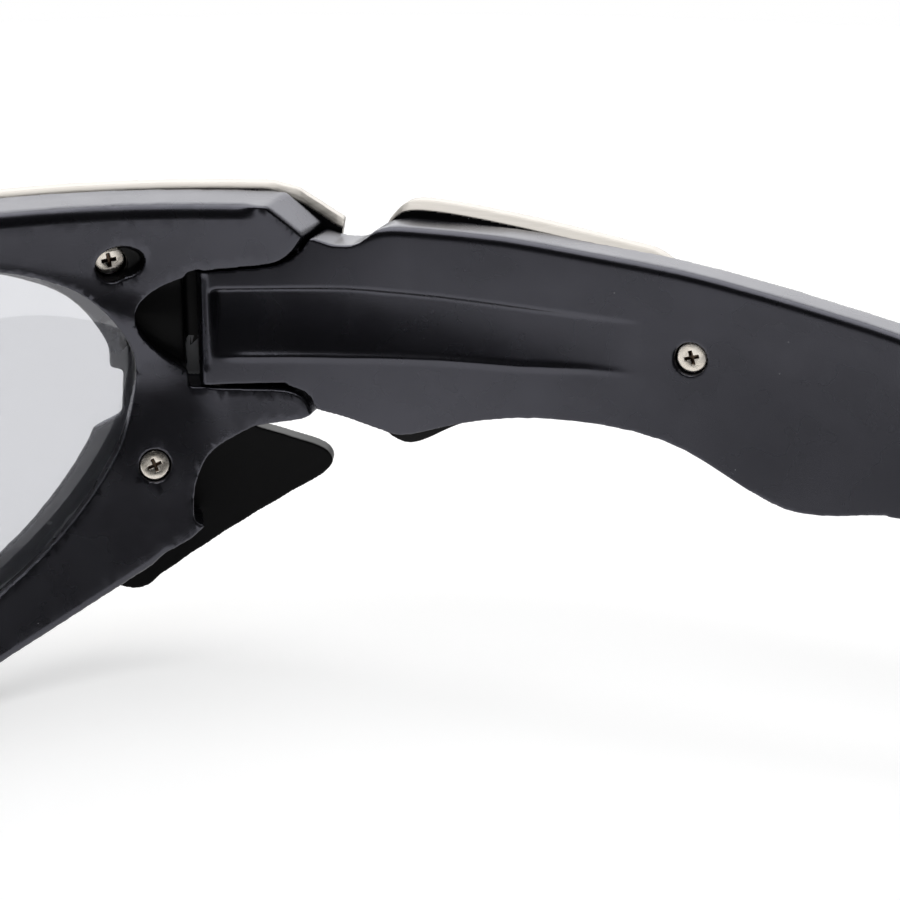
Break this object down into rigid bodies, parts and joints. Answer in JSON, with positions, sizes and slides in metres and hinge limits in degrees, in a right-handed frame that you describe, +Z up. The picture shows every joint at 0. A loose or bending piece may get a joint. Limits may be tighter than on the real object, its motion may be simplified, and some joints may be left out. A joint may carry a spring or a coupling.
{
  "type": "wraparound sunglasses",
  "caption": "Full-rim wraparound sunglasses: moulded black front with smoke lenses, screwed-on metal brow and arm plates, folding arms.",
  "frame": {"origin": "middle of the object's box, on the plane that the rims and the arm tips rest on", "axes": "+Z up, the front faces -Y and the arms run towards +Y, the wearer's right is -X"},
  "size_m": [0.1412, 0.1278, 0.0458],
  "materials": {
    "moulded_black": "fine moulded satin",
    "smoke_lens": "polished, light smoke with a faint mirror coat",
    "plate_metal": "fine brushed, black on the inner face",
    "screw_metal": "warm nickel",
    "soft_rubber": "matte"
  },
  "bodies": {
    "front": {"front_frame": "moulded_black", "lens_right": "smoke_lens", "lens_left": "smoke_lens", "brow_plate_right": "plate_metal", "brow_plate_left": "plate_metal", "brow_screw_upper_right": "screw_metal", "brow_screw_upper_left": "screw_metal", "brow_screw_lower_right": "screw_metal", "brow_screw_lower_left": "screw_metal", "hinge_screw_right": "screw_metal", "hinge_screw_left": "screw_metal", "nose_pad_right": "soft_rubber", "nose_pad_left": "soft_rubber"},
    "right_arm": {"arm_right": "moulded_black", "arm_plate_right": "plate_metal", "arm_plate_screw_right": "screw_metal", "ear_sock_right": "soft_rubber"},
    "left_arm": {"arm_left": "moulded_black", "arm_plate_left": "plate_metal", "arm_plate_screw_left": "screw_metal", "ear_sock_left": "soft_rubber"}
  },
  "joints": [
    {"name": "right_hinge", "type": "hinge", "parent": "front", "child": "right_arm", "pos_m": [-0.05864, -0.03053, 0.03246], "axis": [0, 0, -1], "range_deg": [0, 95]},
    {"name": "left_hinge", "type": "hinge", "parent": "front", "child": "left_arm", "pos_m": [0.05864, -0.03053, 0.03246], "axis": [0, 0, 1], "range_deg": [0, 82]}
  ]
}
